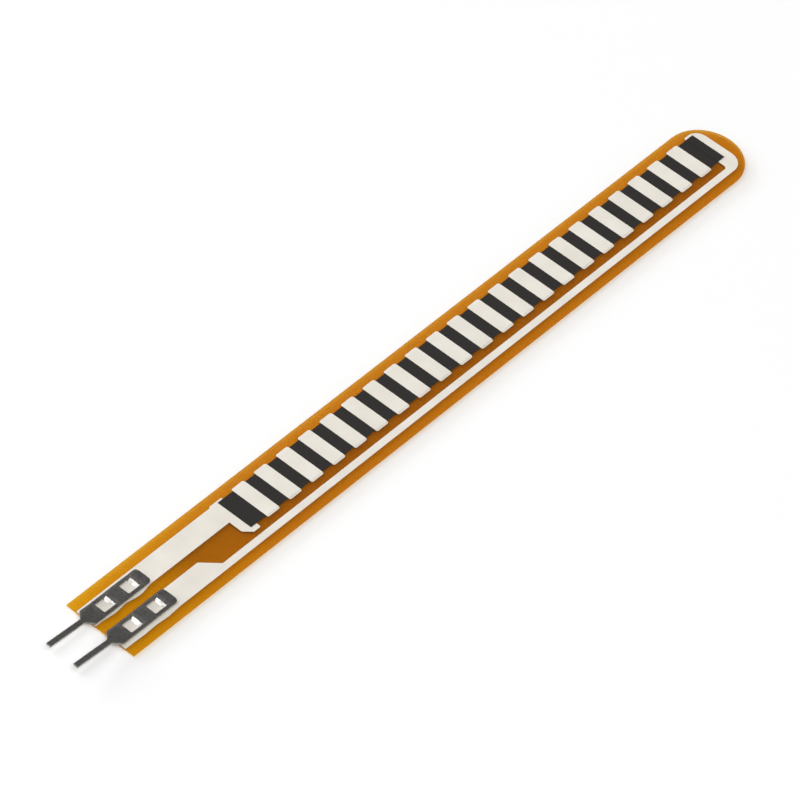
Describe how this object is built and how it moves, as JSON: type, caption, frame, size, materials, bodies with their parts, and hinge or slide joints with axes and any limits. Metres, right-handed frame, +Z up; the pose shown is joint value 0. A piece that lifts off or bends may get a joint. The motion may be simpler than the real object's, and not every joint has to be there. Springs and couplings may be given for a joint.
{
  "type": "flex sensor",
  "caption": "Flat bend sensor: a round-nosed polyimide strip with printed carbon and silver bars and two crimped solder tabs.",
  "frame": {"origin": "the middle of the bottom of the whole object, at the height of the clinched lances under the film", "axes": "+X along the strip from the solder tabs to the round nose, +Y across it towards the input terminal's side, +Z up out of the printed face"},
  "size_m": [0.076, 0.0064, 0.0009],
  "materials": {
    "polyimide_film": "glossy translucent amber film",
    "silver_ink": "matt silver-filled printed ink",
    "carbon_ink": "matt black printed carbon ink",
    "tinned_bronze": "dull tin plating on phosphor bronze"
  },
  "bodies": {
    "root": {"base_film": "polyimide_film", "carbon_strip": "carbon_ink", "input_conductor": "silver_ink", "input_terminal": "tinned_bronze", "return_conductor": "silver_ink", "return_terminal": "tinned_bronze", "silver_pad_01": "silver_ink", "silver_pad_02": "silver_ink", "silver_pad_03": "silver_ink", "silver_pad_04": "silver_ink", "silver_pad_05": "silver_ink", "silver_pad_06": "silver_ink", "silver_pad_07": "silver_ink", "silver_pad_08": "silver_ink", "silver_pad_09": "silver_ink", "silver_pad_10": "silver_ink", "silver_pad_11": "silver_ink", "silver_pad_12": "silver_ink", "silver_pad_13": "silver_ink", "silver_pad_14": "silver_ink", "silver_pad_15": "silver_ink", "silver_pad_16": "silver_ink", "silver_pad_17": "silver_ink", "silver_pad_18": "silver_ink", "silver_pad_19": "silver_ink", "silver_pad_20": "silver_ink", "silver_pad_21": "silver_ink", "silver_pad_22": "silver_ink"}
  },
  "joints": []
}
